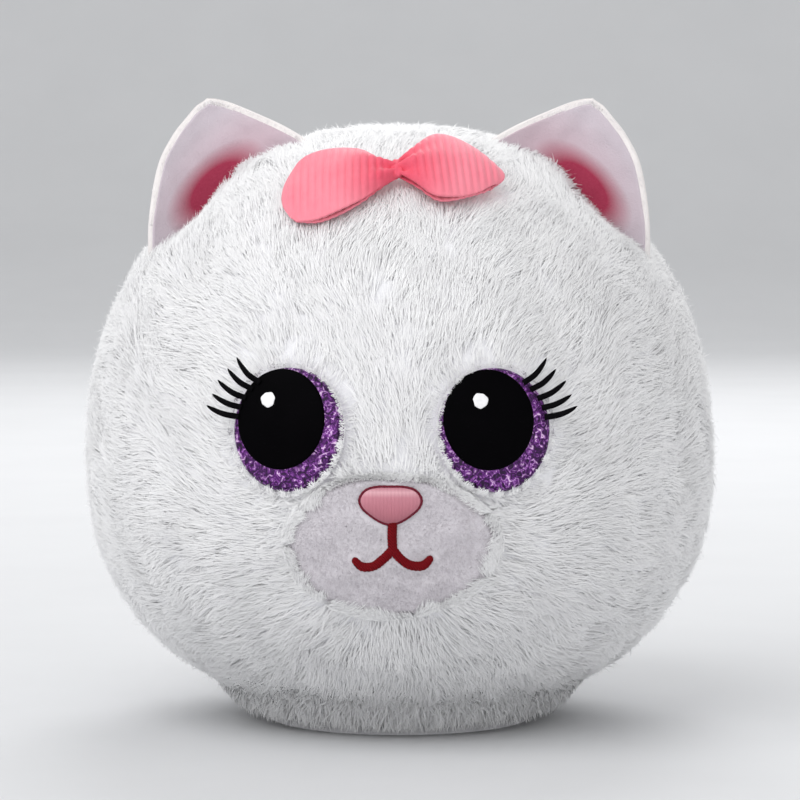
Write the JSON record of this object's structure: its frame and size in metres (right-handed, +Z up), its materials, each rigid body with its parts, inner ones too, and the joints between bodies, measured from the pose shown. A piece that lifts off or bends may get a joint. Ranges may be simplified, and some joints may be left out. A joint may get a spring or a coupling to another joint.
{
  "type": "interactive plush pet",
  "caption": "Round plush cat with ears, ribbon bow and plastic eyes over a sealed capsule with motor, wobble weight, speaker, pat button and battery bay.",
  "frame": {"origin": "on the floor, under the middle of the ball, in the middle of the base plate's flat face", "axes": "+Z up through the crown, the face looks along -Y, +X is at the viewer's right when facing the face"},
  "size_m": [0.16, 0.1602, 0.1567],
  "materials": {
    "fur": "long soft faux fur",
    "fibre": "loose polyester fibre",
    "muzzle_pile": "short cut pile",
    "nose_thread": "satin stitch",
    "mouth_thread": "satin stitch",
    "eye_purple": "glitter under clear gloss",
    "eye_black": "gloss",
    "eye_white": "gloss",
    "washer_nylon": "moulded",
    "lash_black": "soft moulded",
    "ear_pile": "short cut pile",
    "ear_lining": "short pile with an airbrushed rose base",
    "bow_ribbon": "ribbed ribbon",
    "housing_white": "fine spark texture",
    "screw_steel": "zinc plated",
    "cell_jacket": "printed jacket, plain",
    "contact_nickel": "nickel plated",
    "switch_black": "moulded",
    "board_green": "solder mask",
    "component_black": "moulded",
    "frame_grey": "moulded",
    "shaft_steel": "ground",
    "motor_can": "drawn can",
    "gear_nylon": "moulded nylon",
    "weight_iron": "tumbled",
    "speaker_metal": "pressed",
    "speaker_paper": "coated paper",
    "magnet_iron": "sintered",
    "lead_rubber": "insulated lead"
  },
  "bodies": {
    "pet": {"cover_front": "fur", "cover_left": "fur", "cover_right": "fur", "cover_back": "fur", "fibre_stuffing": "fibre", "muzzle_patch": "muzzle_pile", "nose_patch": "nose_thread", "mouth_stitching": "mouth_thread", "left_eye": "eye_purple", "right_eye": "eye_purple", "left_pupil": "eye_black", "right_pupil": "eye_black", "left_eye_glint": "eye_white", "right_eye_glint": "eye_white", "left_eye_washer": "washer_nylon", "right_eye_washer": "washer_nylon", "collar_tie": "washer_nylon", "left_lashes": "lash_black", "right_lashes": "lash_black", "left_ear_back": "ear_pile", "right_ear_back": "ear_pile", "left_ear_lining": "ear_lining", "right_ear_lining": "ear_lining", "bow_left_loop": "bow_ribbon", "bow_right_loop": "bow_ribbon", "bow_knot": "bow_ribbon", "base_plate": "housing_white", "capsule_lower": "housing_white", "capsule_upper": "housing_white", "base_screws": "screw_steel", "capsule_screws": "screw_steel", "board_screws": "screw_steel", "gearbox_screws": "screw_steel", "battery_cells": "cell_jacket", "battery_springs": "contact_nickel", "battery_contacts": "contact_nickel", "pat_spring": "contact_nickel", "power_switch_body": "switch_black", "mainboard": "board_green", "tact_switch": "board_green", "mainboard_components": "component_black", "chassis": "frame_grey", "gearbox_plate": "frame_grey", "idler_axle": "shaft_steel", "motor": "motor_can", "speaker_basket": "speaker_metal", "speaker_cone": "speaker_paper", "speaker_magnet": "magnet_iron", "wiring": "lead_rubber"},
    "door": {"battery_door": "housing_white"},
    "door_screw": {"door_screw": "screw_steel"},
    "switch": {"power_switch_knob": "switch_black"},
    "button": {"pat_button": "housing_white", "button_clip": "screw_steel"},
    "wobbler": {"output_gear": "gear_nylon", "output_shaft": "shaft_steel", "eccentric_weight": "weight_iron"},
    "idler": {"idler_gear": "gear_nylon"},
    "pinion": {"motor_pinion": "gear_nylon", "motor_shaft": "shaft_steel"}
  },
  "joints": [
    {"name": "weight_spin", "type": "hinge", "parent": "pet", "child": "wobbler", "pos_m": [0, 0, 0.066], "axis": [1, 0, 0], "continuous": true},
    {"name": "idler_spin", "type": "hinge", "parent": "pet", "child": "idler", "pos_m": [0, 0.012, 0.066], "axis": [1, 0, 0], "continuous": true},
    {"name": "pinion_spin", "type": "hinge", "parent": "pet", "child": "pinion", "pos_m": [0, 0.012, 0.078], "axis": [1, 0, 0], "continuous": true},
    {"name": "door_lift", "type": "slide", "parent": "pet", "child": "door", "axis": [0, 0, -1], "range_m": [0, 0.025]},
    {"name": "door_screw_turn", "type": "hinge", "parent": "door", "child": "door_screw", "pos_m": [0, -0.0155, 0], "axis": [0, 0, 1], "continuous": true},
    {"name": "power_slide", "type": "slide", "parent": "pet", "child": "switch", "axis": [1, 0, 0], "range_m": [0, 0.003]},
    {"name": "pat_press", "type": "slide", "parent": "pet", "child": "button", "axis": [0, 0, -1], "range_m": [0, 0.002], "stiffness_N_per_m": 1000, "springref_m": -0.0004, "deforming": ["pat_spring"]}
  ],
  "couplings": [
    {"joint": "idler_spin", "follows": "weight_spin", "ratio": -3},
    {"joint": "pinion_spin", "follows": "weight_spin", "ratio": 9}
  ]
}
